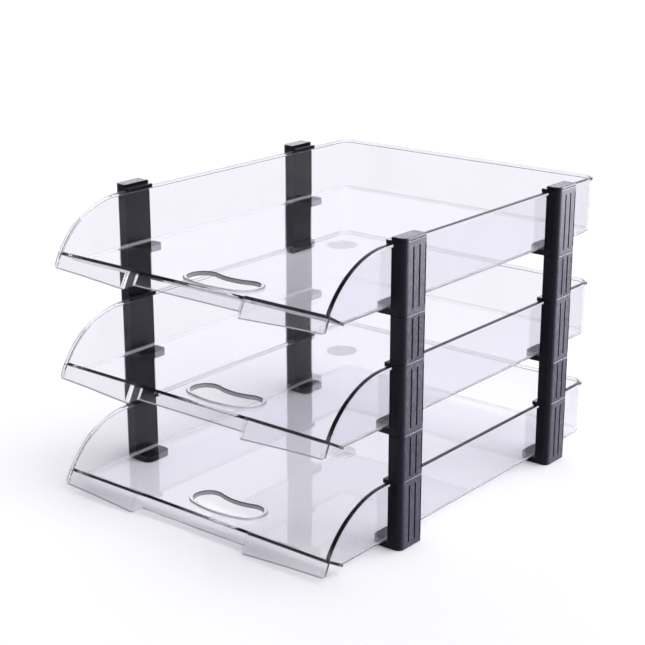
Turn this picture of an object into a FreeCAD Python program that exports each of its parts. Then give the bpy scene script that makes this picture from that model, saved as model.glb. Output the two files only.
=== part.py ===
import FreeCAD, Part
import Sketcher
import math
import os

# Stacking letter tray: three clear trays held one above another by four black riser columns.
#
# Frame: +Z up, front towards -Y, +X to the right of a person facing the tray. The origin is on
# the table under the middle of the object's outline. All lengths are in millimetres.
#
# Each column is a pile of plain pieces: a clip for every tray, a spacer between two clips and a
# cap on top. They are pegged into one another, so a tier lifts straight off the one below.

DIMENSIONS = {
    # tray, measured from the upper face of its floor
    "wall": 2.0,
    "wall_half_width": 126.0,
    "wall_back": 172.8,
    "rim_height": 43.0,
    "bead_height": 2.5,
    "bead_overhang": 1.5,
    "bead_rounding": 0.8,
    "bead_cover": 1.0,
    "corner_radius": 9.0,
    "base_rounding": 3.5,
    "cutdown_start": -108.0,
    "cutdown_radius": 69.0,
    # front lip of the tray
    "ramp_foot": -149.7,
    "ramp_slope": 0.563,
    "lip_crest": -166.4,
    "lip_recess": 4.4,
    "skirt_slope": 0.55,
    "step_inner": 50.0,
    "step_outer": 55.5,
    "step_rounding": 2.5,
    "hem_tip": -2.0,
    "hem_quarter": -2.9,
    "hem_low": -5.0,
    "hem_middle": -2.8,
    "hem_rounding": 1.0,
    "quarter_width": 98.0,
    # finger hole and its raised rim
    "hole_middle": -127.2,
    "lobe_offset": 20.0,
    "lobe_radius": 11.0,
    "hole_front_radius": 79.2,
    "hole_back_radius": 47.9,
    "hole_rim_width": 3.5,
    "hole_rim_height": 1.2,
    "hole_rim_rounding": 1.1,
    # plain roundel moulded on the underside of the floor
    "roundel_middle": 8.0,
    "roundel_radius": 12.0,
    "roundel_line": 0.9,
    "roundel_relief": 0.6,
    # riser columns
    "tier_pitch": 86.0,
    "floor_height": 6.7,
    "column_face": 126.1,
    "column_depth": 11.2,
    "column_width": 25.4,
    "column_front": -87.0,
    "column_rear": 111.0,
    "column_front_corner": 5.0,
    "column_rear_corner": 1.2,
    "column_edge": 0.4,
    "clip_height": 52.0,
    "cap_height": 2.3,
    "cap_edge": 0.6,
    "hook_reach": 4.4,
    "hook_gap": 0.05,
    "hook_lip": 1.9,
    "hook_lip_drop": 0.9,
    "tongue_reach": 15.4,
    "tongue_rounding": 6.0,
    "notch_depth": 1.6,
    "notch_play": 0.15,
    "flute_radius": 0.85,
    "flute_spacing": 7.0,
    "flute_shift": 4.4,
    "clip_flute_margin": 5.1,
    "spacer_flute_margin": 3.1,
    # pegs and their sockets
    "socket_depth": 8.0,
    "socket_thickness": 4.0,
    "socket_width": 15.0,
    "socket_inset": 3.4,
    "peg_play": 0.15,
    # three dimples in each cap
    "dimple_radius": 0.55,
    "dimple_depth": 0.5,
    "dimple_spacing": 2.9,
    "dimple_offset": 9.4,
}
TIERS = (1, 2, 3)
COLUMNS = {
    "front_left": (-1, "column_front"),
    "front_right": (1, "column_front"),
    "rear_left": (-1, "column_rear"),
    "rear_right": (1, "column_rear"),
}

doc = FreeCAD.newDocument("letter_tray")
sheet = doc.addObject("Spreadsheet::Sheet", "dims")
for row, (alias, value) in enumerate(DIMENSIONS.items(), start=1):
    sheet.set(f"A{row}", alias)
    sheet.set(f"B{row}", str(value))
    sheet.setAlias(f"B{row}", alias)
doc.recompute()

EXTRA = 20.0  # how far a cutting block runs past the faces it cuts


def bind(item, **expressions):
    """Tie an object's properties to the sheet; a double underscore stands for a dot."""
    for name, expression in expressions.items():
        item.setExpression(name.replace("__", "."), expression)
    return item


def block(kind, name, body=None, low=("0", "0", "0"), size=("1", "1", "1")):
    """A box of the given kind with its low corner and its three sizes as expressions."""
    item = body.newObject(kind, name) if body else doc.addObject(kind, name)
    return bind(
        item,
        Length=size[0],
        Width=size[1],
        Height=size[2],
        Placement__Base__x=low[0],
        Placement__Base__y=low[1],
        Placement__Base__z=low[2],
    )


def combine(kind, name, *shapes):
    """A boolean of whole objects."""
    item = doc.addObject(kind, name)
    if kind == "Part::Cut":
        item.Base, item.Tool = shapes
    else:
        item.Shapes = list(shapes)
    return item


def new_body(name):
    return doc.addObject("PartDesign::Body", name)


def origin_feature(body, role):
    return next(item for item in body.Origin.OriginFeatures if item.Role == role)


def new_sketch(body, name, plane):
    sketch = body.newObject("Sketcher::SketchObject", name)
    sketch.AttachmentSupport = (origin_feature(body, plane), [""])
    sketch.MapMode = "FlatFace"
    return sketch


def name_constraint(sketch, constraint, label, expression):
    index = sketch.addConstraint(constraint)
    sketch.renameConstraint(index, label)
    sketch.setExpression(f"Constraints.{label}", expression)


def fix_point(sketch, label, geometry, vertex, across, up):
    """Place one vertex of a sketch by two expressions measured from the sketch's origin."""
    start = sketch.getPoint(geometry, vertex)
    for kind, value, axis, expression in (
        ("DistanceX", start.x, "x", across),
        ("DistanceY", start.y, "y", up),
    ):
        constraint = Sketcher.Constraint(kind, -1, 1, geometry, vertex, value)
        name_constraint(sketch, constraint, f"{label}_{axis}", expression)


def outline(sketch, corners):
    """A closed polygon whose corners are pairs of expressions."""
    count = len(corners)
    start = [
        FreeCAD.Vector(100 * math.cos(2 * math.pi * i / count), 100 * math.sin(2 * math.pi * i / count), 0)
        for i in range(count)
    ]
    for i in range(count):
        sketch.addGeometry(Part.LineSegment(start[i], start[(i + 1) % count]))
    for i in range(count):
        sketch.addConstraint(Sketcher.Constraint("Coincident", i, 2, (i + 1) % count, 1))
    for i, (across, up) in enumerate(corners):
        fix_point(sketch, f"corner{i}", i, 1, across, up)


def pad(body, sketch, name, length, midplane=False):
    feature = body.newObject("PartDesign::Pad", name)
    feature.Profile = sketch
    feature.setExpression("Length", length)
    feature.Midplane = midplane
    return feature


def fillet(body, name, base, radius, wanted):
    """Round the edges of a feature for which wanted(edge's box, edge) is true."""
    doc.recompute()
    names = [
        f"Edge{i}"
        for i, edge in enumerate(base.Shape.Edges, start=1)
        if wanted(edge.BoundBox, edge)
    ]
    feature = body.newObject("PartDesign::Fillet", name)
    feature.Base = (base, names)
    feature.setExpression("Radius", radius)
    return feature


# ---------------------------------------------------------------- tray
def tub(tag):
    """Floor, side walls and back wall as one open box, before the front is shaped."""
    body = new_body(f"tub_{tag}")
    box = block(
        "PartDesign::AdditiveBox",
        f"tub_block_{tag}",
        body,
        low=("-dims.wall_half_width", f"dims.lip_crest - {EXTRA}", "-dims.wall"),
        size=(
            "2 * dims.wall_half_width",
            f"dims.wall_back - dims.lip_crest + {EXTRA}",
            "dims.wall + dims.rim_height - dims.bead_cover",
        ),
    )
    corners = fillet(
        body, f"tub_corners_{tag}", box, "dims.corner_radius",
        lambda b, edge: b.ZLength > 20 and b.YMin > 0,
    )
    fillet(
        body, f"tub_base_{tag}", corners, "dims.base_rounding",
        lambda b, edge: b.ZMax < 0,
    )
    return body


def cavity(tag):
    """The space inside the walls and above the floor."""
    body = new_body(f"cavity_{tag}")
    box = block(
        "PartDesign::AdditiveBox",
        f"cavity_block_{tag}",
        body,
        low=("dims.wall - dims.wall_half_width", f"dims.lip_crest - 2 * {EXTRA}", "0"),
        size=(
            "2 * (dims.wall_half_width - dims.wall)",
            f"dims.wall_back - dims.wall - dims.lip_crest + 2 * {EXTRA}",
            f"dims.rim_height + {EXTRA}",
        ),
    )
    corners = fillet(
        body, f"cavity_corners_{tag}", box, "dims.corner_radius - dims.wall",
        lambda b, edge: b.ZLength > 20 and b.YMin > 0,
    )
    fillet(
        body, f"cavity_base_{tag}", corners, "dims.base_rounding - dims.wall",
        lambda b, edge: b.ZMax < 1,
    )
    return body


def cutdown(tag):
    """What the side walls keep: a level rim behind, and a quarter round that falls to the front."""
    front = doc.addObject("Part::Cylinder", f"cutdown_round_{tag}")
    front.Placement = FreeCAD.Placement(
        FreeCAD.Vector(), FreeCAD.Rotation(FreeCAD.Vector(0, 1, 0), 90)
    )
    bind(
        front,
        Radius="dims.cutdown_radius - dims.bead_cover",
        Height=f"2 * (dims.wall_half_width + {EXTRA})",
        Placement__Base__x=f"-dims.wall_half_width - {EXTRA}",
        Placement__Base__y="dims.cutdown_start",
        Placement__Base__z="dims.rim_height - dims.cutdown_radius",
    )
    rear = block(
        "Part::Box",
        f"cutdown_rear_{tag}",
        low=(f"-dims.wall_half_width - {EXTRA}", "dims.cutdown_start", f"-{EXTRA}"),
        size=(
            f"2 * (dims.wall_half_width + {EXTRA})",
            f"dims.wall_back - dims.cutdown_start + {EXTRA}",
            f"dims.rim_height - dims.bead_cover + {EXTRA}",
        ),
    )
    return combine("Part::MultiFuse", f"cutdown_{tag}", front, rear)


def prism(name, plane, corners, length):
    """A polygon in one of the origin planes, padded equally to both sides of it."""
    body = new_body(name)
    sketch = new_sketch(body, f"{name}_outline", plane)
    outline(sketch, corners)
    pad(body, sketch, f"{name}_pad", length, midplane=True)
    return body


def below_ramp(tag):
    """Everything under the sloping upper face of the ramp."""
    far = f"(dims.lip_crest - {EXTRA})"
    return prism(
        f"below_ramp_{tag}",
        "YZ_Plane",
        [
            ("dims.ramp_foot", "0"),
            (far, f"dims.ramp_slope * (dims.ramp_foot - {far})"),
            (far, f"-{EXTRA}"),
            ("dims.ramp_foot", f"-{EXTRA}"),
        ],
        "2 * dims.wall_half_width",
    )


def under_tray(tag):
    """Everything under the ramp's lower face and, behind it, under the floor."""
    far = f"(dims.lip_crest - {EXTRA})"
    foot = "(dims.ramp_foot - dims.wall * tan(atan(dims.ramp_slope) / 2))"
    return prism(
        f"under_tray_{tag}",
        "YZ_Plane",
        [
            ("dims.ramp_foot + 1", "-dims.wall"),
            (foot, "-dims.wall"),
            (far, f"dims.ramp_slope * ({foot} - {far}) - dims.wall"),
            (far, f"-2 * {EXTRA}"),
            ("dims.ramp_foot + 1", f"-2 * {EXTRA}"),
        ],
        f"2 * (dims.wall_half_width + {EXTRA})",
    )


def behind_skirt(name, shift):
    """Everything behind the sloping face of the skirt.

    Seen from above, the face is straight on both sides and set back between two S-bends.
    """
    body = new_body(name)
    sketch = new_sketch(body, f"{name}_plan", "XY_Plane")
    crest = "dims.ramp_slope * (dims.ramp_foot - dims.lip_crest)"
    proud = f"dims.lip_crest - dims.skirt_slope * {crest} + {shift}"
    back = f"{proud} + dims.lip_recess * (1 + dims.ramp_slope * dims.skirt_slope)"
    rear = f"dims.ramp_foot + {EXTRA}"
    side = "dims.wall_half_width"
    outline(
        sketch,
        [
            (f"-{side}", rear),
            (f"-{side}", proud),
            ("-dims.step_outer", proud),
            ("-dims.step_inner", back),
            ("dims.step_inner", back),
            ("dims.step_outer", proud),
            (side, proud),
            (side, rear),
        ],
    )
    solid = pad(body, sketch, f"{name}_pad", f"3 * {EXTRA}", midplane=True)
    solid.UseCustomVector = True
    solid.Direction = FreeCAD.Vector(0, DIMENSIONS["skirt_slope"], 1)
    solid.AlongSketchNormal = True
    fillet(
        body, f"{name}_bends", solid, "dims.step_rounding",
        lambda b, edge: b.ZLength > 20 and b.XLength < 0.1 and abs(b.XMin) < 70,
    )
    return body


def below_hem(tag):
    """Everything under the skirt's lower edge."""
    right = [
        (f"dims.wall_half_width + {EXTRA}", "dims.hem_tip"),
        ("dims.wall_half_width", "dims.hem_tip"),
        ("dims.quarter_width", "dims.hem_quarter"),
        ("dims.step_outer - 1.5", "dims.hem_low"),
        ("dims.step_inner", "dims.hem_middle"),
    ]
    left = [(f"-({across})", up) for across, up in reversed(right)]
    bottom = [
        (f"-dims.wall_half_width - {EXTRA}", f"-2 * {EXTRA}"),
        (f"dims.wall_half_width + {EXTRA}", f"-2 * {EXTRA}"),
    ]
    body = prism(f"below_hem_{tag}", "XZ_Plane", right + left + bottom, f"20 * {EXTRA}")
    fillet(
        body, f"hem_bends_{tag}", body.Tip, "dims.hem_rounding",
        lambda b, edge: b.YLength > 100 and abs(b.XMin) < 70 and b.ZMin > -10,
    )
    return body


def lip(tag):
    """The ramp at the front of the floor and the skirt that hangs from its crest."""
    outer = behind_skirt(f"lip_front_{tag}", "0")
    inner = behind_skirt(f"lip_back_{tag}", "dims.wall * sqrt(1 + dims.skirt_slope ^ 2)")
    solid = combine("Part::MultiCommon", f"lip_solid_{tag}", outer, below_ramp(tag))
    hollow = combine("Part::MultiCommon", f"lip_hollow_{tag}", inner, under_tray(f"lip_{tag}"))
    open_lip = combine("Part::Cut", f"lip_open_{tag}", solid, hollow)
    return combine("Part::Cut", f"lip_{tag}", open_lip, below_hem(tag))


def rounded_rectangle(width, height, radius):
    """A closed wire about the origin of the XY plane, with quarter-round corners."""
    edges = []
    for turn in range(4):
        across, up = (width, height) if turn % 2 == 0 else (height, width)
        spin = FreeCAD.Rotation(FreeCAD.Vector(0, 0, 1), 90 * turn)
        corner = FreeCAD.Vector(across / 2 - radius, up / 2 - radius, 0)
        reach = radius * math.sqrt(0.5)
        side = Part.LineSegment(
            spin.multVec(FreeCAD.Vector(across / 2, radius - up / 2, 0)),
            spin.multVec(FreeCAD.Vector(across / 2, up / 2 - radius, 0)),
        )
        bend = Part.Arc(
            spin.multVec(corner + FreeCAD.Vector(radius, 0, 0)),
            spin.multVec(corner + FreeCAD.Vector(reach, reach, 0)),
            spin.multVec(corner + FreeCAD.Vector(0, radius, 0)),
        )
        edges += [side.toShape(), bend.toShape()]
    return Part.Wire(edges)


def bead(tag):
    """The rolled rim: one bar of rounded section swept up the cut-downs and round the back."""
    width = sheet.wall + sheet.bead_overhang
    half = sheet.wall_half_width + sheet.bead_overhang - width / 2
    back = sheet.wall_back + sheet.bead_overhang - width / 2
    turn = sheet.corner_radius + sheet.bead_overhang - width / 2
    radius = sheet.cutdown_radius - sheet.bead_height / 2
    centre_z = sheet.rim_height - sheet.cutdown_radius
    fall = math.acos((sheet.hem_tip + sheet.bead_overhang / 2 - centre_z) / radius)

    def on_cutdown(side, angle):
        return FreeCAD.Vector(
            side * half, sheet.cutdown_start - radius * math.sin(angle), centre_z + radius * math.cos(angle)
        )

    def on_corner(side, angle):
        return FreeCAD.Vector(
            side * (half - turn + turn * math.cos(angle)), back - turn + turn * math.sin(angle), centre_z + radius
        )

    right = [
        Part.Arc(on_cutdown(1, fall), on_cutdown(1, fall / 2), on_cutdown(1, 0)),
        Part.LineSegment(on_cutdown(1, 0), on_corner(1, 0)),
        Part.Arc(on_corner(1, 0), on_corner(1, math.pi / 4), on_corner(1, math.pi / 2)),
    ]
    across = Part.LineSegment(on_corner(1, math.pi / 2), on_corner(-1, math.pi / 2))
    left = [
        Part.Arc(on_corner(-1, math.pi / 2), on_corner(-1, math.pi / 4), on_corner(-1, 0)),
        Part.LineSegment(on_corner(-1, 0), on_cutdown(-1, 0)),
        Part.Arc(on_cutdown(-1, 0), on_cutdown(-1, fall / 2), on_cutdown(-1, fall)),
    ]
    path = Part.Wire([curve.toShape() for curve in right + [across] + left])
    section = rounded_rectangle(width, sheet.bead_height, sheet.bead_rounding)
    along = FreeCAD.Vector(0, math.cos(fall), math.sin(fall))
    outward = FreeCAD.Vector(0, -math.sin(fall), math.cos(fall))
    facing = FreeCAD.Rotation(FreeCAD.Vector(1, 0, 0), outward, along, "XYZ")
    section.Placement = FreeCAD.Placement(on_cutdown(1, fall), facing)
    feature = doc.addObject("Part::Feature", f"bead_{tag}")
    feature.Shape = path.makePipeShell([section], True, False)
    return feature


def kidney(body, name, grow, lift="0"):
    """A bean-shaped outline: two round lobes, a bulging front and a hollow back, all tangent."""
    sketch = new_sketch(body, name, "XY_Plane")
    sketch.setExpression("AttachmentOffset.Base.z", lift)
    side = sheet.lobe_offset
    lobe = sheet.lobe_radius
    front = sheet.hole_front_radius
    back = sheet.hole_back_radius
    middle = sheet.hole_middle
    front_y = math.sqrt((front - lobe) ** 2 - side**2)
    back_y = math.sqrt((back + lobe) ** 2 - side**2)
    front_angle = math.atan2(-front_y, side)
    back_angle = math.atan2(back_y, -side)
    normal = FreeCAD.Vector(0, 0, 1)

    def arc(x, y, radius, start, end):
        circle = Part.Circle(FreeCAD.Vector(x, middle + y, 0), normal, radius)
        sketch.addGeometry(Part.ArcOfCircle(circle, start, end))

    arc(side, 0, lobe, front_angle, back_angle)
    arc(0, back_y, back, -back_angle, back_angle - math.pi)
    arc(-side, 0, lobe, math.pi - back_angle, math.pi - front_angle)
    arc(0, front_y, front, -math.pi - front_angle, front_angle)
    right, hollow, left, bulge = range(4)
    for first, vertex, second, other in (
        (right, 2, hollow, 2),
        (hollow, 1, left, 1),
        (left, 2, bulge, 1),
        (bulge, 2, right, 1),
    ):
        sketch.addConstraint(Sketcher.Constraint("Tangent", first, vertex, second, other))
    fix_point(sketch, "right_lobe", right, 3, "dims.lobe_offset", "dims.hole_middle")
    fix_point(sketch, "left_lobe", left, 3, "-dims.lobe_offset", "dims.hole_middle")
    for label, geometry, value, expression in (
        ("right_radius", right, lobe, f"dims.lobe_radius + {grow}"),
        ("left_radius", left, lobe, f"dims.lobe_radius + {grow}"),
        ("front_radius", bulge, front, f"dims.hole_front_radius + {grow}"),
        ("back_radius", hollow, back, f"dims.hole_back_radius - {grow}"),
    ):
        name_constraint(sketch, Sketcher.Constraint("Radius", geometry, value), label, expression)
    return sketch


def hole_rim(tag):
    """The raised, rounded rim of the finger hole, as a ring through the floor."""
    body = new_body(f"hole_rim_{tag}")
    ring = kidney(body, f"hole_rim_outline_{tag}", "dims.hole_rim_width", "-dims.wall")
    solid = pad(body, ring, f"hole_rim_pad_{tag}", "dims.wall + dims.hole_rim_height")
    doc.recompute()
    opening = kidney(body, f"hole_outline_{tag}", "0", "-dims.wall")
    pocket = body.newObject("PartDesign::Pocket", f"hole_{tag}")
    pocket.Profile = opening
    pocket.Type = "ThroughAll"
    pocket.Reversed = True
    fillet(
        body, f"hole_rim_rounding_{tag}", pocket, "dims.hole_rim_rounding",
        lambda b, edge: b.ZMin > sheet.hole_rim_height - 0.1,
    )
    if pocket.Shape.Volume > 0.7 * solid.Shape.Volume:
        raise RuntimeError("the finger hole was not cut")
    return body


def hole_space(tag):
    """A cutter that clears the floor under the middle of the hole's rim."""
    body = new_body(f"hole_space_{tag}")
    opening = kidney(body, f"hole_space_outline_{tag}", "dims.hole_rim_width / 2")
    pad(body, opening, f"hole_space_pad_{tag}", f"2 * {EXTRA}", midplane=True)
    return body


def roundel(tag):
    """A plain wheel pattern in low relief under the floor: two rings, a hub and six bars."""
    shapes = []

    def disc(name, radius):
        cylinder = doc.addObject("Part::Cylinder", f"{name}_{tag}")
        bind(
            cylinder,
            Radius=radius,
            Height="2 * dims.roundel_relief",
            Placement__Base__y="dims.roundel_middle",
            Placement__Base__z="-dims.wall - dims.roundel_relief",
        )
        return cylinder

    for name, share in (("roundel_outer", 1.0), ("roundel_inner", 0.66)):
        whole = disc(f"{name}_disc", f"{share} * dims.roundel_radius")
        core = disc(f"{name}_core", f"{share} * dims.roundel_radius - dims.roundel_line")
        shapes.append(combine("Part::Cut", f"{name}_{tag}", whole, core))
    shapes.append(disc("roundel_hub", "0.2 * dims.roundel_radius"))
    for i in range(3):
        bar = doc.addObject("Part::Box", f"roundel_bar{i}_{tag}")
        spin = FreeCAD.Rotation(FreeCAD.Vector(0, 0, 1), 60 * i)
        middle = FreeCAD.Vector(0, sheet.roundel_middle, -sheet.wall - sheet.roundel_relief)
        reach = sheet.roundel_radius - sheet.roundel_line / 2
        bind(
            bar,
            Length="2 * dims.roundel_radius - dims.roundel_line",
            Width="dims.roundel_line",
            Height="2 * dims.roundel_relief",
        )
        corner = middle + spin.multVec(FreeCAD.Vector(-reach, -sheet.roundel_line / 2, 0))
        bar.Placement = FreeCAD.Placement(corner, spin)
        shapes.append(bar)
    return combine("Part::MultiFuse", f"roundel_{tag}", *shapes)


def tray(tier):
    """One clear tray, moulded in one piece, set at its height in the stack."""
    tag = f"t{tier}"
    walls = combine("Part::MultiCommon", f"walls_{tag}", tub(tag), cutdown(tag))
    hollow = combine("Part::Cut", f"hollow_{tag}", walls, cavity(tag))
    shell = combine("Part::Cut", f"shell_{tag}", hollow, under_tray(tag))
    whole = combine("Part::MultiFuse", f"moulding_{tag}", shell, lip(tag), bead(tag), roundel(tag))
    pierced = combine("Part::Cut", f"pierced_{tag}", whole, hole_space(tag))
    piece = combine("Part::MultiFuse", f"tray_{tier}", pierced, hole_rim(tag))
    bind(piece, Placement__Base__z=f"dims.floor_height + {tier - 1} * dims.tier_pitch")
    return piece


# ------------------------------------------------------- columns
# A column piece is modelled with its inner face on x = 0, outwards along +x, standing on z = 0,
# and then set on the right of the tray, or turned half round on the left.
def place_on_column(body, column, level):
    side, row = COLUMNS[column]
    turn = 0 if side > 0 else 180
    body.Placement = FreeCAD.Placement(
        FreeCAD.Vector(), FreeCAD.Rotation(FreeCAD.Vector(0, 0, 1), turn)
    )
    bind(
        body,
        Placement__Base__x=f"{side} * dims.column_face",
        Placement__Base__y=f"dims.{row}",
        Placement__Base__z=level,
    )


def column_block(body, tag, side, height, edge="dims.column_edge"):
    """A plain length of column: its outer front corner well rounded, its rear one nearly sharp."""
    bar = block(
        "PartDesign::AdditiveBox",
        f"bar_{tag}",
        body,
        low=("0", "-dims.column_width / 2", "0"),
        size=("dims.column_depth", "dims.column_width", height),
    )
    front = fillet(
        body, f"front_corner_{tag}", bar, "dims.column_front_corner",
        lambda b, e: b.ZLength > 1 and b.XMin > 1 and side * b.YMin < 0,
    )
    rear = fillet(
        body, f"rear_corner_{tag}", front, "dims.column_rear_corner",
        lambda b, e: b.ZLength > 1 and b.XMin > 1 and side * b.YMin > 12,
    )
    return fillet(
        body, f"ends_{tag}", rear, edge,
        lambda b, e: b.ZLength < 0.01 and b.XMax > 1,
    )


def flutes(body, tag, side, low, length):
    """Three upright grooves with round ends in the outer face, set towards the rear."""
    first = f"{side} * dims.flute_shift - dims.flute_spacing"
    groove = body.newObject("PartDesign::SubtractiveCylinder", f"flute_{tag}")
    bind(
        groove,
        Radius="dims.flute_radius",
        Height=length,
        Placement__Base__x="dims.column_depth",
        Placement__Base__y=first,
        Placement__Base__z=low,
    )
    ends = []
    for name, level in (("low", low), ("high", f"{low} + {length}")):
        ball = body.newObject("PartDesign::SubtractiveSphere", f"flute_{name}_{tag}")
        bind(
            ball,
            Radius="dims.flute_radius",
            Placement__Base__x="dims.column_depth",
            Placement__Base__y=first,
            Placement__Base__z=level,
        )
        ends.append(ball)
    pattern = body.newObject("PartDesign::LinearPattern", f"flutes_{tag}")
    pattern.Originals = [groove] + ends
    pattern.Direction = (origin_feature(body, "Y_Axis"), [""])
    pattern.setExpression("Length", "2 * dims.flute_spacing")
    pattern.Occurrences = 3
    body.Tip = pattern


def peg(body, name, level, play="dims.peg_play", kind="PartDesign::AdditiveBox", depth=None):
    """A rectangular peg, or with no play the socket that it fits."""
    return block(
        kind,
        name,
        body,
        low=(f"dims.socket_inset + {play}", f"{play} - dims.socket_width / 2", level),
        size=(
            f"dims.socket_thickness - 2 * {play}",
            f"dims.socket_width - 2 * {play}",
            depth or f"dims.socket_depth - 2 * {play}",
        ),
    )


def clip(tier, column):
    """A length of column that holds a tray: a hook over its rim and a tongue under its floor."""
    tag = f"clip_{tier}_{column}"
    side, _ = COLUMNS[column]
    body = new_body(tag)
    column_block(body, tag, side, "dims.clip_height")
    hook_level = "(dims.floor_height + dims.rim_height + dims.hook_gap)"
    block(
        "PartDesign::AdditiveBox",
        f"hook_{tag}",
        body,
        low=("-dims.hook_reach", "-dims.column_width / 2", hook_level),
        size=("dims.hook_reach + 1", "dims.column_width", f"dims.clip_height - {hook_level}"),
    )
    block(
        "PartDesign::AdditiveBox",
        f"hook_lip_{tag}",
        body,
        low=("-dims.hook_reach", "-dims.column_width / 2", f"{hook_level} - dims.hook_lip_drop"),
        size=("dims.hook_lip", "dims.column_width", "dims.hook_lip_drop + 0.5"),
    )
    tongue = block(
        "PartDesign::AdditiveBox",
        f"tongue_{tag}",
        body,
        low=("-dims.tongue_reach", "-dims.column_width / 2", "0"),
        size=("dims.tongue_reach + 1", "dims.column_width", "dims.floor_height - dims.wall"),
    )
    fillet(
        body, f"tongue_corners_{tag}", tongue, "dims.tongue_rounding",
        lambda b, e: b.XMax < -sheet.tongue_reach + 0.1 and b.ZLength > 1,
    )
    block(
        "PartDesign::SubtractiveBox",
        f"bead_notch_{tag}",
        body,
        low=("0", "-dims.column_width", f"{hook_level} - dims.bead_height - dims.notch_play - dims.hook_gap"),
        size=(
            "dims.notch_depth",
            "2 * dims.column_width",
            "dims.bead_height + dims.notch_play + dims.hook_gap",
        ),
    )
    peg(body, f"top_socket_{tag}", "dims.clip_height - dims.socket_depth", "0", "PartDesign::SubtractiveBox")
    peg(body, f"bottom_socket_{tag}", "0", "0", "PartDesign::SubtractiveBox")
    margin = "dims.clip_flute_margin"
    flutes(body, tag, side, margin, f"dims.clip_height - 2 * {margin}")
    place_on_column(body, column, f"{tier - 1} * dims.tier_pitch")
    return body


def spacer(tier, column):
    """The length of column between two clips, with a peg at each end."""
    tag = f"spacer_{tier}_{column}"
    side, _ = COLUMNS[column]
    body = new_body(tag)
    height = "(dims.tier_pitch - dims.clip_height)"
    column_block(body, tag, side, height)
    peg(body, f"low_peg_{tag}", "2 * dims.peg_play - dims.socket_depth", depth="dims.socket_depth")
    peg(body, f"high_peg_{tag}", f"{height} - 2 * dims.peg_play", depth="dims.socket_depth")
    margin = "dims.spacer_flute_margin"
    flutes(body, tag, side, margin, f"{height} - 2 * {margin}")
    place_on_column(body, column, f"{tier - 1} * dims.tier_pitch + dims.clip_height")
    return body


def cap(column):
    """The plug that closes the top of a column, with three dimples near its rear edge."""
    tag = f"cap_{column}"
    side, _ = COLUMNS[column]
    body = new_body(tag)
    column_block(body, tag, side, "dims.cap_height", "dims.cap_edge")
    peg(body, f"peg_{tag}", "2 * dims.peg_play - dims.socket_depth", depth="dims.socket_depth")
    dimple = body.newObject("PartDesign::SubtractiveCylinder", f"dimple_{tag}")
    bind(
        dimple,
        Radius="dims.dimple_radius",
        Height="2 * dims.dimple_depth",
        Placement__Base__x="dims.column_depth / 2 - dims.dimple_spacing",
        Placement__Base__y=f"{side} * dims.dimple_offset",
        Placement__Base__z="dims.cap_height - dims.dimple_depth",
    )
    pattern = body.newObject("PartDesign::LinearPattern", f"dimples_{tag}")
    pattern.Originals = [dimple]
    pattern.Direction = (origin_feature(body, "X_Axis"), [""])
    pattern.setExpression("Length", "2 * dims.dimple_spacing")
    pattern.Occurrences = 3
    body.Tip = pattern
    level = f"{len(TIERS) - 1} * dims.tier_pitch + dims.clip_height"
    place_on_column(body, column, level)
    return body


# -------------------------------------------------------- assembly
pieces = {f"tray_{tier}": tray(tier) for tier in TIERS}
for column in COLUMNS:
    for tier in TIERS:
        pieces[f"clip_{tier}_{column}"] = clip(tier, column)
    for tier in TIERS[:-1]:
        pieces[f"spacer_{tier}_{column}"] = spacer(tier, column)
    pieces[f"cap_{column}"] = cap(column)
for name, piece in pieces.items():
    piece.Label = name
doc.recompute()

failed = [item.Name for item in doc.Objects if "Invalid" in item.State or "Error" in item.State]
if failed:
    raise RuntimeError(f"objects that did not recompute: {failed}")
for name, piece in pieces.items():
    shape = piece.Shape
    if shape.isNull() or not shape.isValid() or len(shape.Solids) != 1:
        raise RuntimeError(f"{name} is not one valid solid")

os.makedirs("parts", exist_ok=True)
for name, piece in pieces.items():
    piece.Shape.exportStep(f"parts/{name}.step")
print(f"wrote {len(pieces)} pieces")
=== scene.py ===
import math

import bpy
import numpy as np
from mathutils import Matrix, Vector


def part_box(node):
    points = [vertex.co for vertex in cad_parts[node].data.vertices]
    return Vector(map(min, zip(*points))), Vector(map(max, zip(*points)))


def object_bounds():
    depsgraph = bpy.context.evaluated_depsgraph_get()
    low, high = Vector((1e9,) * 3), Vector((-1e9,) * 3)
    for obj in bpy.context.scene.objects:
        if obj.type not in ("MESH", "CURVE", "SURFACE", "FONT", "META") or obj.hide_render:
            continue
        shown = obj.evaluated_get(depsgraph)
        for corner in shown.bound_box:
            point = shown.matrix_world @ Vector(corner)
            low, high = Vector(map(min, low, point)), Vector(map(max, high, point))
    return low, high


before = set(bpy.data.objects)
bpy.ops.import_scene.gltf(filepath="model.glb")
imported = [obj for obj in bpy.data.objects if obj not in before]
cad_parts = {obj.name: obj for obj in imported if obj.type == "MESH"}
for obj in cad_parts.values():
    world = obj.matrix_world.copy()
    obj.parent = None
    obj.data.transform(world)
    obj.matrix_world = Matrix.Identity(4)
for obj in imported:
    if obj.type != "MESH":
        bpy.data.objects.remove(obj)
cad_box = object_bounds()

# ---------------------------------------------------------------- camera
# A long lens looks down on the stack from beyond its open right-hand front corner.
# There is no shift and no depth of field.
camera_data = bpy.data.cameras.new("camera")
camera_data.lens = 84.96
camera_data.sensor_width = 36.0
camera_data.clip_end = 60.0
camera = bpy.data.objects.new("camera", camera_data)
camera.location = (0.7036, -0.8877, 0.4766)
look_at = Vector((-0.0001, -0.01595, 0.1211))
camera.rotation_euler = (look_at - camera.location).to_track_quat("-Z", "Y").to_euler()
bpy.context.scene.collection.objects.link(camera)
bpy.context.scene.camera = camera
bpy.context.scene.view_settings.view_transform = "Standard"

# ------------------------------------------------------------- table top
# A plain table of matt white laminate that runs to the horizon. The stack stands on it
# loose, on the tongues and feet of its lowest clips.
table_reach = 30.0
table_gap = 0.0002
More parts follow.
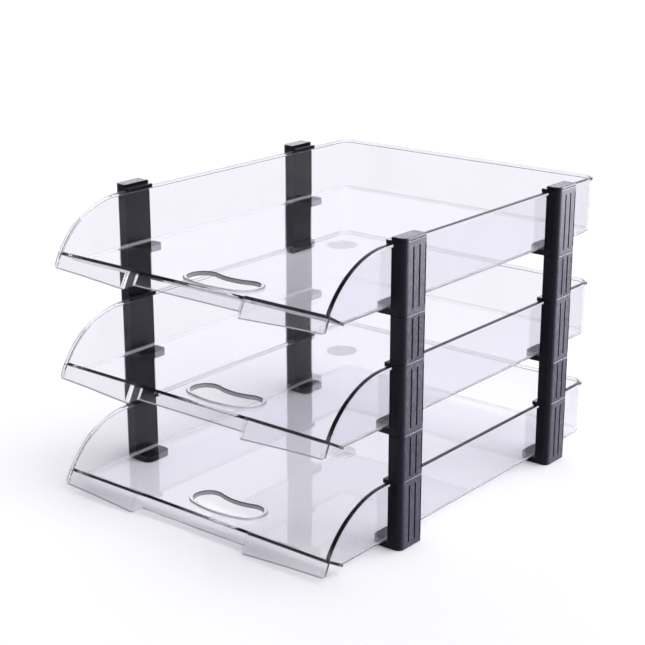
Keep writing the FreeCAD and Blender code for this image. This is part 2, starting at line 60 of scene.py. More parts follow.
# A level square, its corners that reach from the middle along X and Y.
corners = table_reach * np.array([(-1, -1, 0), (1, -1, 0), (1, 1, 0), (-1, 1, 0)])
table_mesh = bpy.data.meshes.new("table_top")
table_mesh.from_pydata(corners.tolist(), [], [(0, 1, 2, 3)])
table_top = bpy.data.objects.new("table_top", table_mesh)
table_top.location = (0.0, 0.0, cad_box[0][2] - table_gap)
bpy.context.scene.collection.objects.link(table_top)


def arrange(nodes, rows):
    """Put each named row of nodes in a frame of its own, left to right and top to bottom."""
    node_pitch = 230
    row_pitch = 420
    for line, (title, row) in enumerate(rows):
        group = nodes.new("NodeFrame")
        group.label = title
        for column, node in enumerate(row):
            node.parent = group
            node.location = (node_pitch * column, -row_pitch * line)


laminate = bpy.data.materials.new("white_laminate")
laminate.use_nodes = True
nodes = laminate.node_tree.nodes
links = laminate.node_tree.links
nodes.clear()

coords = nodes.new("ShaderNodeTexCoord")
coords.label = "place on the table"
pores = nodes.new("ShaderNodeTexNoise")
pores.label = "fine pores of the laminate"
dents = nodes.new("ShaderNodeBump")
dents.label = "pores as tiny dents"
surface = nodes.new("ShaderNodeBsdfPrincipled")
surface.label = "matt white laminate"
output = nodes.new("ShaderNodeOutputMaterial")
output.label = "table top"
arrange(nodes, (("pores", (coords, pores, dents)), ("laminate", (surface, output))))

pores.inputs["Scale"].default_value = 700.0
dents.inputs["Strength"].default_value = 0.04
dents.inputs["Distance"].default_value = 0.0002
surface.inputs["Base Color"].default_value = (0.9, 0.9, 0.905, 1.0)
surface.inputs["Roughness"].default_value = 0.9
surface.inputs["Specular IOR Level"].default_value = 0.1

links.new(coords.outputs["Object"], pores.inputs["Vector"])
links.new(pores.outputs["Fac"], dents.inputs["Height"])
links.new(dents.outputs["Normal"], surface.inputs["Normal"])
links.new(surface.outputs["BSDF"], output.inputs["Surface"])
table_mesh.materials.append(laminate)

# ---------------------------------------------------------------- studio
# A white room with a very large ceiling light. Its front is unlit above the skirting, so
# that the clear plastic has something dark to show in its edges, and the wall behind on
# the left is the brightest and lies in the floors of the trays as a reflection.
studio = bpy.data.worlds.new("studio")
studio.use_nodes = True
bpy.context.scene.world = studio
nodes = studio.node_tree.nodes
links = studio.node_tree.links
nodes.clear()

coords = nodes.new("ShaderNodeTexCoord")
coords.label = "direction into the room"
lean = nodes.new("ShaderNodeVectorMath")
lean.label = "how far it turns to the unlit front"
fade = nodes.new("ShaderNodeValToRGB")
fade.label = "lit walls to dark room"
rise = nodes.new("ShaderNodeSeparateXYZ")
rise.label = "height in the room"
above_skirting = nodes.new("ShaderNodeMapRange")
above_skirting.label = "from the skirting upwards"
room = nodes.new("ShaderNodeMix")
room.label = "white low down, unlit only above"
to_bright_wall = nodes.new("ShaderNodeVectorMath")
to_bright_wall.label = "how far it turns to the bright wall"
glow = nodes.new("ShaderNodeMapRange")
glow.label = "bright wall behind on the left"
walls = nodes.new("ShaderNodeBackground")
walls.label = "light of the walls"
output = nodes.new("ShaderNodeOutputWorld")
output.label = "studio"
arrange(
    nodes,
    (
        ("unlit front", (coords, lean, fade)),
        ("white low down", (rise, above_skirting, room)),
        ("bright wall", (to_bright_wall, glow)),
        ("walls", (walls, output)),
    ),
)

lit_white = (0.97, 0.96, 1.06, 1.0)
lean.operation = "DOT_PRODUCT"
lean.inputs[1].default_value = (-0.35, -0.8, 0.5)
fade.color_ramp.elements[0].position = 0.35
fade.color_ramp.elements[0].color = lit_white
fade.color_ramp.elements[1].position = 0.75
fade.color_ramp.elements[1].color = (0.04, 0.04, 0.045, 1.0)
above_skirting.inputs["From Min"].default_value = 0.12
above_skirting.inputs["From Max"].default_value = 0.22
room.data_type = "RGBA"
room.inputs["A"].default_value = lit_white
to_bright_wall.operation = "DOT_PRODUCT"
to_bright_wall.inputs[1].default_value = (-0.584, 0.745, 0.322)
glow.inputs["From Min"].default_value = 0.74
glow.inputs["From Max"].default_value = 0.95
glow.inputs["To Min"].default_value = 0.8
glow.inputs["To Max"].default_value = 1.18

links.new(coords.outputs["Generated"], lean.inputs[0])
links.new(lean.outputs["Value"], fade.inputs["Fac"])
links.new(coords.outputs["Generated"], rise.inputs["Vector"])
links.new(rise.outputs["Z"], above_skirting.inputs["Value"])
links.new(above_skirting.outputs["Result"], room.inputs["Factor"])
links.new(fade.outputs["Color"], room.inputs["B"])
links.new(room.outputs["Result"], walls.inputs["Color"])
links.new(coords.outputs["Generated"], to_bright_wall.inputs[0])
links.new(to_bright_wall.outputs["Value"], glow.inputs["Value"])
links.new(glow.outputs["Result"], walls.inputs["Strength"])
links.new(walls.outputs["Background"], output.inputs["Surface"])

bpy.context.scene.cycles.max_bounces = 32
bpy.context.scene.cycles.transmission_bounces = 32

ceiling = bpy.data.lights.new("ceiling_light", "SUN")
ceiling.energy = 2.05
ceiling.angle = math.radians(50.0)
ceiling_light = bpy.data.objects.new("ceiling_light", ceiling)
ceiling_light.rotation_euler = Vector((-0.25, -0.2, -1.0)).to_track_quat("-Z", "Y").to_euler()
bpy.context.scene.collection.objects.link(ceiling_light)

# ---------------------------------------------------------- riser lights
# Two soft boxes behind the stack, linked to black columns alone so that the trays stay
# free of glare. The right one draws the pale sheen down the outer faces of the right-hand
# columns, and the left one lights the level tops of all four.
def softbox(name, ends, at, towards, power):
    """A wide light at one point facing another, only for nodes whose names end in ends."""
    columns = bpy.data.collections.new(f"lit_by_{name}")
    for node_name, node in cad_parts.items():
        if node_name.endswith(ends):
            columns.objects.link(node)
    data = bpy.data.lights.new(name, "AREA")
    data.shape = "RECTANGLE"
    data.size = 2.6
    data.size_y = 1.2
    data.energy = power
    data.color = (0.95, 0.94, 1.0)
    lamp = bpy.data.objects.new(name, data)
    lamp.location = at
    lamp.rotation_euler = (Vector(towards) - Vector(at)).to_track_quat("-Z", "Y").to_euler()
    lamp.light_linking.receiver_collection = columns
    bpy.context.scene.collection.objects.link(lamp)


softbox("softbox_rear_right", "_right", (2.5, 3.1, 0.65), (0.1, 0.0, 0.3), 1500.0)
softbox("softbox_rear_left", ("_left", "_right"), (-2.6, 3.2, 1.5), (0.0, 0.0, 0.2), 110.0)


# ----------------------------------------------------------------- clips
# Twelve clips, three in each column. Each is moulded in black polystyrene, with a hook
# that snaps over the tray's rim and a flat tongue that carries the floor.
def moulded_black(name, grain, dust, sheen):
    """Black plastic: level drawn grain, dust specks, and outer faces rubbed in patches.

    Grain is its depth in millimetres, dust how far the threshold for specks is lowered, and
    sheen the roughness of the clean plastic.
    """
    outer_face = 0.1373
    rubbed_band = 0.0006
    sheen_spread = 0.05
    speck_from = 0.72
    speck_full = 0.78
    millimetre = 0.001

    material = bpy.data.materials.new(name)
    material.use_nodes = True
    nodes = material.node_tree.nodes
    links = material.node_tree.links
    nodes.clear()

    coords = nodes.new("ShaderNodeTexCoord")
    coords.label = "place on the riser"
    level_lines = nodes.new("ShaderNodeMapping")
    level_lines.label = "stretch the grain level"
    lines = nodes.new("ShaderNodeTexNoise")
    lines.label = "drawn lines of the mould"
    pebble = nodes.new("ShaderNodeTexNoise")
    pebble.label = "spark-eroded pebble"
    both = nodes.new("ShaderNodeMix")
    both.label = "lines over pebble"
    relief = nodes.new("ShaderNodeBump")
    relief.label = "grain as relief"
    handled = nodes.new("ShaderNodeTexNoise")
    handled.label = "where hands have been"
    polish = nodes.new("ShaderNodeMapRange")
    polish.label = "dull to polished"
    specks = nodes.new("ShaderNodeTexNoise")
    specks.label = "scattered dust"
    sift = nodes.new("ShaderNodeValToRGB")
    sift.label = "keep the brightest specks"
    apart = nodes.new("ShaderNodeSeparateXYZ")
    apart.label = "distance from the middle"
    outward = nodes.new("ShaderNodeMath")
    outward.label = "same on both sides"
    near_face = nodes.new("ShaderNodeMapRange")
    near_face.label = "last band before the outer face"
    scuffs = nodes.new("ShaderNodeMapRange")
    scuffs.label = "only the most handled places"
    patchy = nodes.new("ShaderNodeMath")
    patchy.label = "rubbed in patches"
    dusty = nodes.new("ShaderNodeMath")
    dusty.label = "dust and rubbed plastic together"
    colour = nodes.new("ShaderNodeMix")
    colour.label = "black to rubbed grey"
    surface = nodes.new("ShaderNodeBsdfPrincipled")
    surface.label = "black polystyrene"
    output = nodes.new("ShaderNodeOutputMaterial")
    output.label = "riser piece"
    arrange(
        nodes,
        (
            ("place", (coords,)),
            ("grain", (level_lines, lines, pebble, both, relief)),
            ("polish", (handled, polish)),
            ("dust", (specks, sift)),
            ("rubbed faces", (apart, outward, near_face, scuffs, patchy, dusty)),
            ("plastic", (colour, surface, output)),
        ),
    )

    level_lines.inputs["Scale"].default_value = (1.0, 1.0, 22.0)
    lines.inputs["Scale"].default_value = 110.0
    lines.inputs["Detail"].default_value = 4.0
    pebble.inputs["Scale"].default_value = 1400.0
    both.data_type = "FLOAT"
    both.inputs["Factor"].default_value = 0.4
    relief.inputs["Strength"].default_value = 0.22
    relief.inputs["Distance"].default_value = grain * millimetre
    handled.inputs["Scale"].default_value = 420.0
    handled.inputs["Detail"].default_value = 8.0
    handled.inputs["Roughness"].default_value = 0.62
    polish.inputs["From Min"].default_value = 0.35
    polish.inputs["From Max"].default_value = 0.65
    polish.inputs["To Min"].default_value = sheen - sheen_spread
    polish.inputs["To Max"].default_value = sheen + sheen_spread
    specks.inputs["Scale"].default_value = 950.0
    specks.inputs["Detail"].default_value = 1.0
    sift.color_ramp.elements[0].position = speck_from - dust
    sift.color_ramp.elements[0].color = (0.0, 0.0, 0.0, 1.0)
    sift.color_ramp.elements[1].position = speck_full - dust
    sift.color_ramp.elements[1].color = (1.0, 1.0, 1.0, 1.0)
    outward.operation = "ABSOLUTE"
    near_face.inputs["From Min"].default_value = outer_face - rubbed_band
    near_face.inputs["From Max"].default_value = outer_face
    near_face.inputs["To Max"].default_value = 0.8
    scuffs.inputs["From Min"].default_value = 0.5
    scuffs.inputs["From Max"].default_value = 0.72
    patchy.operation = "MULTIPLY"
    dusty.operation = "ADD"
    dusty.use_clamp = True
    colour.data_type = "RGBA"
    colour.inputs["A"].default_value = (0.006, 0.0052, 0.011, 1.0)
    colour.inputs["B"].default_value = (0.022, 0.021, 0.027, 1.0)
    surface.inputs["Specular IOR Level"].default_value = 0.13
    surface.inputs["IOR"].default_value = 1.5

    links.new(coords.outputs["Object"], level_lines.inputs["Vector"])
    links.new(level_lines.outputs["Vector"], lines.inputs["Vector"])
    links.new(coords.outputs["Object"], pebble.inputs["Vector"])
    links.new(lines.outputs["Fac"], both.inputs["A"])
    links.new(pebble.outputs["Fac"], both.inputs["B"])
    links.new(both.outputs["Result"], relief.inputs["Height"])
    links.new(relief.outputs["Normal"], surface.inputs["Normal"])
    links.new(coords.outputs["Object"], handled.inputs["Vector"])
    links.new(handled.outputs["Fac"], polish.inputs["Value"])
    links.new(polish.outputs["Result"], surface.inputs["Roughness"])
    links.new(coords.outputs["Object"], specks.inputs["Vector"])
    links.new(specks.outputs["Fac"], sift.inputs["Fac"])
    links.new(coords.outputs["Object"], apart.inputs["Vector"])
    links.new(apart.outputs["X"], outward.inputs[0])
    links.new(outward.outputs["Value"], near_face.inputs["Value"])
    links.new(near_face.outputs["Result"], patchy.inputs[0])
    links.new(handled.outputs["Fac"], scuffs.inputs["Value"])
    links.new(scuffs.outputs["Result"], patchy.inputs[1])
    links.new(patchy.outputs["Value"], dusty.inputs[0])
    links.new(sift.outputs["Color"], dusty.inputs[1])
    links.new(dusty.outputs["Value"], colour.inputs["Factor"])
    links.new(colour.outputs["Result"], surface.inputs["Base Color"])
    links.new(surface.outputs["BSDF"], output.inputs["Surface"])
    return material


clip_black = moulded_black("black_clip", grain=0.05, dust=0.02, sheen=0.42)
for name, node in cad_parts.items():
    if name.startswith("clip_"):
        node.data.materials.clear()
        node.data.materials.append(clip_black)

# --------------------------------------------------------------- spacers
# Eight lengths of the same black column between a clip and the clip above. They are held
# by a peg at each end only, and are handled most, so they are a little more polished.
spacer_black = moulded_black("black_spacer", grain=0.05, dust=0.01, sheen=0.38)
for name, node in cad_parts.items():
    if name.startswith("spacer_"):
        node.data.materials.clear()
        node.data.materials.append(spacer_black)

# ------------------------------------------------------------------ caps
# Four thin black plugs, one pushed into the top of each column, with three dimples. They
# carry more dust specks than the clips.
cap_black = moulded_black("black_cap", grain=0.03, dust=0.05, sheen=0.5)
for name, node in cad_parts.items():
    if name.startswith("cap_"):
        node.data.materials.clear()
        node.data.materials.append(cap_black)


# ----------------------------------------------------------------- trays
# Three trays, each moulded in one piece in clear polystyrene with a trace of violet. Each
# is held by its rolled rim in four hooks and rests on four tongues.
rim_top = 0.043


def clear_polystyrene(name, level, turn):
    """Clear plastic: slow moulding waves, paper scratches, and places that are less clear.

    These are the frosted roundel, the scuffed rolled rim and the whole front lip. The wall of
    the finger hole, the level faces of the lip and the foot of the walls are made milky as well,
    as painted light: light grey where the clear plastic goes dark, and a pale painted highlight
    at the foot. The underside of the ramp, seen from outside, is greyed with painted shade.
    Level is the height of the tray's upper floor face, from which rim_top is measured, and turn
    the angle by which the pattern is turned, so that no two trays are marked alike.
    """
    rim_band = 0.0026
    floor_skin = 0.0008
    roundel_middle = 0.008
    roundel_radius = 0.012
    roundel_edge = 0.0003
    hole_middle = -0.1272
    hole_half_size = (0.038, 0.022, 1.0)
    hole_edge = 0.05
    lip_back = -0.162
    lip_fade = 0.004
    wall_half_width = 0.126
    wall_back = 0.1728
    wall_foot = 0.003
    wall_foot_fade = 0.0036
    ramp_foot = -0.1497
    ramp_slope = 0.563
    ramp_half_run = 0.01
    ramp_masked = 0.0085
    ramp_thickness = 0.0023
    ramp_face_play = 0.0005

    material = bpy.data.materials.new(name)
    material.use_nodes = True
    nodes = material.node_tree.nodes
    links = material.node_tree.links
    nodes.clear()

    coords = nodes.new("ShaderNodeTexCoord")
    coords.label = "place on the stack"
    at_floor = nodes.new("ShaderNodeMapping")
    at_floor.label = "measure from this floor"
    apart = nodes.new("ShaderNodeSeparateXYZ")
    apart.label = "height above this floor"
    own_turn = nodes.new("ShaderNodeMapping")
    own_turn.label = "this tray's own marks"
    waves = nodes.new("ShaderNodeTexNoise")
    waves.label = "slow waves of the mould"
    wave_relief = nodes.new("ShaderNodeBump")
    wave_relief.label = "waves in the surface"
    drawn = nodes.new("ShaderNodeMapping")
    drawn.label = "drawn out front to back"
    scratches = nodes.new("ShaderNodeTexNoise")
    scratches.label = "hairline marks of paper"
    hairlines = nodes.new("ShaderNodeValToRGB")
    hairlines.label = "keep only the finest lines"
    scratch_relief = nodes.new("ShaderNodeBump")
    scratch_relief.label = "hairlines cut in"
    flat = nodes.new("ShaderNodeMapping")
    flat.label = "seen from straight above"
    from_middle = nodes.new("ShaderNodeVectorMath")
    from_middle.label = "distance from the roundel's middle"
    in_roundel = nodes.new("ShaderNodeMapRange")
    in_roundel.label = "inside the roundel"
    under_floor = nodes.new("ShaderNodeMapRange")
    under_floor.label = "underside only"
    frost = nodes.new("ShaderNodeMath")
    frost.label = "frosted roundel"
    on_rim = nodes.new("ShaderNodeMapRange")
    on_rim.label = "the rolled rim"
    rim_wear = nodes.new("ShaderNodeTexNoise")
    rim_wear.label = "uneven wear"
    scuffed = nodes.new("ShaderNodeMath")
    scuffed.label = "scuffed rim"
    frost_or_scuff = nodes.new("ShaderNodeMath")
    frost_or_scuff.label = "all matt places"
    handled = nodes.new("ShaderNodeTexNoise")
    handled.label = "faint handling haze"
    haze = nodes.new("ShaderNodeMapRange")
    haze.label = "polished to hazy"
    lined = nodes.new("ShaderNodeMath")
    lined.label = "hairlines are rougher"
    rough = nodes.new("ShaderNodeMath")
    rough.label = "matt places are roughest"
    facing = nodes.new("ShaderNodeSeparateXYZ")
    facing.label = "which way the surface faces"
    slope = nodes.new("ShaderNodeMath")
    slope.label = "level, whichever side is up"
    upright = nodes.new("ShaderNodeMapRange")
    upright.label = "upright faces"
    round_hole = nodes.new("ShaderNodeMapping")
    round_hole.label = "centre on the finger hole"
    hole_reach = nodes.new("ShaderNodeVectorMath")
    hole_reach.label = "distance in hole widths"
    near_hole = nodes.new("ShaderNodeMapRange")
    near_hole.label = "finger hole and its rim"
    hole_wall = nodes.new("ShaderNodeMath")
    hole_wall.label = "wall of the finger hole"
    at_front = nodes.new("ShaderNodeMapRange")
    at_front.label = "front lip"
    cut_edge = nodes.new("ShaderNodeMapRange")
    cut_edge.label = "level edges only"
    hem = nodes.new("ShaderNodeMath")
    hem.label = "lower edge of the skirt"
    # Painted shade: the nodes below mark the lower face of the ramp, seen from outside.
    ramp_height = nodes.new("ShaderNodeMath")
    ramp_height.label = "height of the ramp here, below zero"
    under = nodes.new("ShaderNodeMath")
    under.label = "depth below the ramp's face"
    ramp_skin = nodes.new("ShaderNodeMath")
    ramp_skin.label = "lower face of the ramp"
    ramp_span = nodes.new("ShaderNodeMath")
    ramp_span.label = "between floor and crest"
    side_seen = nodes.new("ShaderNodeNewGeometry")
    side_seen.label = "which side light meets"
    from_outside = nodes.new("ShaderNodeMath")
    from_outside.label = "from outside the plastic"
    ramp_part = nodes.new("ShaderNodeMath")
    ramp_part.label = "ramp only"
    painted_ramp_shade = nodes.new("ShaderNodeMath")
    painted_ramp_shade.label = "painted shade under the ramp"
    sideways = nodes.new("ShaderNodeMath")
    sideways.label = "same on both sides"
    to_side = nodes.new("ShaderNodeMath")
    to_side.label = "short of the side wall"
    to_back = nodes.new("ShaderNodeMath")
    to_back.label = "short of the back wall"
    to_wall = nodes.new("ShaderNodeMath")
    to_wall.label = "nearest wall"
    by_wall = nodes.new("ShaderNodeMapRange")
    by_wall.label = "strip along the walls"
    by_floor = nodes.new("ShaderNodeMapRange")
    by_floor.label = "down at the floor"
    foot = nodes.new("ShaderNodeMath")
    foot.label = "painted highlight at the wall foot"
    foot_or_lip = nodes.new("ShaderNodeMath")
    foot_or_lip.label = "painted light at foot and edges, milky lip"
    painted_light_edges = nodes.new("ShaderNodeMath")
    painted_light_edges.label = "edges made milky as painted light"
    lip_haze = nodes.new("ShaderNodeMath")
    lip_haze.label = "milky lip, plus painted-light edges"
    milky = nodes.new("ShaderNodeMath")
    milky.label = "matt places milky, plus painted light"
    clearness = nodes.new("ShaderNodeMapRange")
    clearness.label = "how much light passes"
    tint = nodes.new("ShaderNodeMix")
    tint.label = "trace of violet, uneven"
    painted_shade_mix = nodes.new("ShaderNodeMix")
    painted_shade_mix.label = "colour greyed by painted shade"
    body = nodes.new("ShaderNodeBsdfPrincipled")
    body.label = "clear polystyrene"
    through = nodes.new("ShaderNodeBsdfTransparent")
    through.label = "lets the lamps shine through"
    ray = nodes.new("ShaderNodeLightPath")
    ray.label = "is it looking for a lamp"
    choose = nodes.new("ShaderNodeMixShader")
    choose.label = "plastic, or open to the lamps"
    output = nodes.new("ShaderNodeOutputMaterial")
    output.label = "tray"
    arrange(
        nodes,
        (
            ("place", (coords, at_floor, apart, own_turn)),
            ("moulding waves", (waves, wave_relief)),
            ("paper scratches", (drawn, scratches, hairlines, scratch_relief)),
            ("frosted roundel", (flat, from_middle, in_roundel, under_floor, frost)),
            ("scuffed rim", (on_rim, rim_wear, scuffed, frost_or_scuff)),
            ("finger hole", (facing, slope, upright, round_hole, hole_reach, near_hole, hole_wall)),
            ("front lip", (at_front, cut_edge, hem, painted_light_edges, lip_haze)),
            (
                "underside of the ramp",
                (
                    ramp_height,
                    under,
                    ramp_skin,
                    ramp_span,
                    side_seen,
                    from_outside,
                    ramp_part,
                    painted_ramp_shade,
                ),
            ),
            (
                "foot of the walls",
                (sideways, to_side, to_back, to_wall, by_wall, by_floor, foot, foot_or_lip),
            ),
            ("haze", (handled, haze, lined, rough, milky, clearness)),
            ("plastic", (tint, painted_shade_mix, body, through, ray, choose, output)),
        ),
    )

    at_floor.inputs["Location"].default_value = (0.0, 0.0, -level)
    own_turn.inputs["Rotation"].default_value = (0.0, 0.0, turn)
    waves.inputs["Scale"].default_value = 14.0
    waves.inputs["Detail"].default_value = 0.0
    wave_relief.inputs["Strength"].default_value = 0.1
    wave_relief.inputs["Distance"].default_value = 0.0012
    drawn.inputs["Scale"].default_value = (1.0, 0.03, 1.0)
    scratches.inputs["Scale"].default_value = 620.0
    scratches.inputs["Detail"].default_value = 2.0
    hairlines.color_ramp.elements[0].position = 0.66
    hairlines.color_ramp.elements[0].color = (0.0, 0.0, 0.0, 1.0)
    hairlines.color_ramp.elements[1].position = 0.74
    hairlines.color_ramp.elements[1].color = (1.0, 1.0, 1.0, 1.0)
    scratch_relief.inputs["Strength"].default_value = 0.03
    scratch_relief.inputs["Distance"].default_value = 0.0001
    scratch_relief.invert = True
    flat.inputs["Scale"].default_value = (1.0, 1.0, 0.0)
    from_middle.operation = "DISTANCE"
    from_middle.inputs[1].default_value = (0.0, roundel_middle, 0.0)
    in_roundel.inputs["From Min"].default_value = roundel_radius + roundel_edge
    in_roundel.inputs["From Max"].default_value = roundel_radius - roundel_edge
    under_floor.inputs["From Min"].default_value = -floor_skin
    under_floor.inputs["From Max"].default_value = -2.0 * floor_skin
    frost.operation = "MULTIPLY"
    on_rim.inputs["From Min"].default_value = rim_top - rim_band
    on_rim.inputs["From Max"].default_value = rim_top - 0.8 * rim_band
    on_rim.inputs["To Max"].default_value = 0.12
    rim_wear.inputs["Scale"].default_value = 60.0
    rim_wear.inputs["Detail"].default_value = 4.0
    scuffed.operation = "MULTIPLY"
    frost_or_scuff.operation = "MAXIMUM"
    handled.inputs["Scale"].default_value = 16.0
    handled.inputs["Detail"].default_value = 4.0
    haze.inputs["From Min"].default_value = 0.4
    haze.inputs["From Max"].default_value = 0.7
    haze.inputs["To Max"].default_value = 0.012
    lined.operation = "MULTIPLY_ADD"
    lined.inputs[1].default_value = 0.06
    rough.operation = "MULTIPLY_ADD"
    rough.inputs[1].default_value = 0.4
    slope.operation = "ABSOLUTE"
    # Painted light: the upright wall of the finger hole and the level faces of the front lip are
    # made milky, so that they show light grey where the clear plastic goes dark.
    upright.inputs["From Min"].default_value = 0.8
    upright.inputs["From Max"].default_value = 0.4
    round_hole.vector_type = "TEXTURE"
    round_hole.inputs["Location"].default_value = (0.0, hole_middle, 0.0)
    round_hole.inputs["Scale"].default_value = hole_half_size
    hole_reach.operation = "LENGTH"
    near_hole.inputs["From Min"].default_value = 1.0 + hole_edge
    near_hole.inputs["From Max"].default_value = 1.0 - hole_edge
    hole_wall.operation = "MULTIPLY"
    at_front.inputs["From Min"].default_value = lip_back
    at_front.inputs["From Max"].default_value = lip_back - lip_fade
    cut_edge.inputs["From Min"].default_value = 0.9
    cut_edge.inputs["From Max"].default_value = 0.97
    hem.operation = "MULTIPLY"
    painted_light_edges.operation = "MAXIMUM"
    # The whole front lip is made a little milky, and the painted-light edges are added to it.
    lip_haze.operation = "MULTIPLY_ADD"
    lip_haze.inputs[1].default_value = 0.11
    ramp_height.operation = "MULTIPLY_ADD"
    ramp_height.inputs[1].default_value = ramp_slope
    ramp_height.inputs[2].default_value = -ramp_slope * ramp_foot
    under.operation = "ADD"
    ramp_skin.operation = "COMPARE"
    ramp_skin.inputs[1].default_value = -ramp_thickness
    ramp_skin.inputs[2].default_value = ramp_face_play
    ramp_span.operation = "COMPARE"
    ramp_span.inputs[1].default_value = ramp_foot - ramp_half_run
    ramp_span.inputs[2].default_value = ramp_masked
    from_outside.operation = "SUBTRACT"
    from_outside.inputs[0].default_value = 1.0
    ramp_part.operation = "MULTIPLY"
    painted_ramp_shade.operation = "MULTIPLY"
    sideways.operation = "ABSOLUTE"
    to_side.operation = "SUBTRACT"
    to_side.inputs[1].default_value = wall_half_width
    to_back.operation = "SUBTRACT"
    to_back.inputs[1].default_value = wall_back
    to_wall.operation = "MAXIMUM"
    # Painted highlight: a strip along the foot of the side and back walls, down at the floor, is
    # made milky so that it shows as a pale line of light.
    by_wall.inputs["From Min"].default_value = -wall_foot_fade
    by_wall.inputs["From Max"].default_value = -wall_foot
    by_wall.inputs["To Max"].default_value = 0.45
    by_floor.inputs["From Min"].default_value = 0.002
    by_floor.inputs["From Max"].default_value = 0.0012
    foot.operation = "MULTIPLY"
    foot_or_lip.operation = "MAXIMUM"
    milky.operation = "MULTIPLY_ADD"
    milky.inputs[1].default_value = 0.5
    clearness.inputs["To Min"].default_value = 0.997
    clearness.inputs["To Max"].default_value = 0.62
    tint.data_type = "RGBA"
    tint.inputs["A"].default_value = (0.9, 0.897, 0.917, 1.0)
    tint.inputs["B"].default_value = (0.872, 0.868, 0.892, 1.0)
    painted_shade_mix.data_type = "RGBA"
    # Painted shade: the lower face of the ramp, seen from outside, is greyed towards this dark
    # violet grey.
    painted_shade_mix.inputs["B"].default_value = (0.22, 0.215, 0.25, 1.0)
    body.inputs["IOR"].default_value = 1.59
    body.inputs["Specular Tint"].default_value = (0.15, 0.15, 0.16, 1.0)
    through.inputs["Color"].default_value = (0.845, 0.843, 0.852, 1.0)

    links.new(coords.outputs["Object"], at_floor.inputs["Vector"])
    links.new(at_floor.outputs["Vector"], apart.inputs["Vector"])
    links.new(at_floor.outputs["Vector"], own_turn.inputs["Vector"])
    links.new(own_turn.outputs["Vector"], waves.inputs["Vector"])
    links.new(waves.outputs["Fac"], wave_relief.inputs["Height"])
    links.new(own_turn.outputs["Vector"], drawn.inputs["Vector"])
    links.new(drawn.outputs["Vector"], scratches.inputs["Vector"])
    links.new(scratches.outputs["Fac"], hairlines.inputs["Fac"])
    links.new(hairlines.outputs["Color"], scratch_relief.inputs["Height"])
    links.new(wave_relief.outputs["Normal"], scratch_relief.inputs["Normal"])
    links.new(scratch_relief.outputs["Normal"], body.inputs["Normal"])
    links.new(at_floor.outputs["Vector"], flat.inputs["Vector"])
    links.new(flat.outputs["Vector"], from_middle.inputs[0])
    links.new(from_middle.outputs["Value"], in_roundel.inputs["Value"])
    links.new(apart.outputs["Z"], under_floor.inputs["Value"])
    links.new(in_roundel.outputs["Result"], frost.inputs[0])
    links.new(under_floor.outputs["Result"], frost.inputs[1])
    links.new(apart.outputs["Z"], on_rim.inputs["Value"])
    links.new(own_turn.outputs["Vector"], rim_wear.inputs["Vector"])
    links.new(on_rim.outputs["Result"], scuffed.inputs[0])
    links.new(rim_wear.outputs["Fac"], scuffed.inputs[1])
    links.new(frost.outputs["Value"], frost_or_scuff.inputs[0])
    links.new(scuffed.outputs["Value"], frost_or_scuff.inputs[1])
    links.new(own_turn.outputs["Vector"], handled.inputs["Vector"])
    links.new(handled.outputs["Fac"], haze.inputs["Value"])
    links.new(hairlines.outputs["Color"], lined.inputs[0])
    links.new(haze.outputs["Result"], lined.inputs[2])
    links.new(frost_or_scuff.outputs["Value"], rough.inputs[0])
    links.new(lined.outputs["Value"], rough.inputs[2])
    links.new(rough.outputs["Value"], body.inputs["Roughness"])
    links.new(coords.outputs["Normal"], facing.inputs["Vector"])
    links.new(facing.outputs["Z"], slope.inputs[0])
    links.new(slope.outputs["Value"], upright.inputs["Value"])
    links.new(flat.outputs["Vector"], round_hole.inputs["Vector"])
    links.new(round_hole.outputs["Vector"], hole_reach.inputs[0])
    links.new(hole_reach.outputs["Value"], near_hole.inputs["Value"])
    links.new(upright.outputs["Result"], hole_wall.inputs[0])
    links.new(near_hole.outputs["Result"], hole_wall.inputs[1])
    links.new(apart.outputs["Y"], at_front.inputs["Value"])
    links.new(slope.outputs["Value"], cut_edge.inputs["Value"])
    links.new(at_front.outputs["Result"], hem.inputs[0])
    links.new(cut_edge.outputs["Result"], hem.inputs[1])
    links.new(hem.outputs["Value"], painted_light_edges.inputs[0])
    links.new(hole_wall.outputs["Value"], painted_light_edges.inputs[1])
    links.new(at_front.outputs["Result"], lip_haze.inputs[0])
    links.new(painted_light_edges.outputs["Value"], lip_haze.inputs[2])
    links.new(frost_or_scuff.outputs["Value"], milky.inputs[0])
    links.new(apart.outputs["X"], sideways.inputs[0])
    links.new(sideways.outputs["Value"], to_side.inputs[0])
    links.new(apart.outputs["Y"], to_back.inputs[0])
    links.new(to_side.outputs["Value"], to_wall.inputs[0])
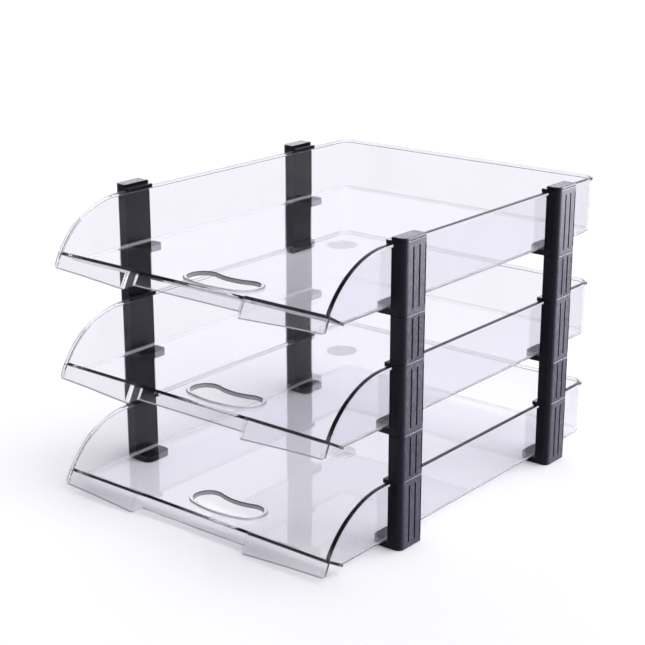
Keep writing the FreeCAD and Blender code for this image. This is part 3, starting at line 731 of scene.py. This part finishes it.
    links.new(to_back.outputs["Value"], to_wall.inputs[1])
    links.new(to_wall.outputs["Value"], by_wall.inputs["Value"])
    links.new(apart.outputs["Z"], by_floor.inputs["Value"])
    links.new(by_wall.outputs["Result"], foot.inputs[0])
    links.new(by_floor.outputs["Result"], foot.inputs[1])
    links.new(foot.outputs["Value"], foot_or_lip.inputs[0])
    links.new(lip_haze.outputs["Value"], foot_or_lip.inputs[1])
    links.new(apart.outputs["Y"], ramp_height.inputs[0])
    links.new(ramp_height.outputs["Value"], under.inputs[0])
    links.new(apart.outputs["Z"], under.inputs[1])
    links.new(under.outputs["Value"], ramp_skin.inputs[0])
    links.new(apart.outputs["Y"], ramp_span.inputs[0])
    links.new(side_seen.outputs["Backfacing"], from_outside.inputs[1])
    links.new(ramp_skin.outputs["Value"], ramp_part.inputs[0])
    links.new(ramp_span.outputs["Value"], ramp_part.inputs[1])
    links.new(ramp_part.outputs["Value"], painted_ramp_shade.inputs[0])
    links.new(from_outside.outputs["Value"], painted_ramp_shade.inputs[1])
    links.new(foot_or_lip.outputs["Value"], milky.inputs[2])
    links.new(milky.outputs["Value"], clearness.inputs["Value"])
    links.new(clearness.outputs["Result"], body.inputs["Transmission Weight"])
    links.new(handled.outputs["Fac"], tint.inputs["Factor"])
    links.new(painted_ramp_shade.outputs["Value"], painted_shade_mix.inputs["Factor"])
    links.new(tint.outputs["Result"], painted_shade_mix.inputs["A"])
    links.new(painted_shade_mix.outputs["Result"], body.inputs["Base Color"])
    links.new(ray.outputs["Is Shadow Ray"], choose.inputs[0])
    links.new(body.outputs["BSDF"], choose.inputs[1])
    links.new(through.outputs["BSDF"], choose.inputs[2])
    links.new(choose.outputs["Shader"], output.inputs["Surface"])
    return material


for name, turn in (("tray_1", 0.0), ("tray_2", 0.05), ("tray_3", -0.04)):
    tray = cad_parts[name]
    floor_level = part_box(name)[1][2] - rim_top
    tray.data.materials.clear()
    tray.data.materials.append(clear_polystyrene(f"clear_{name}", floor_level, turn))
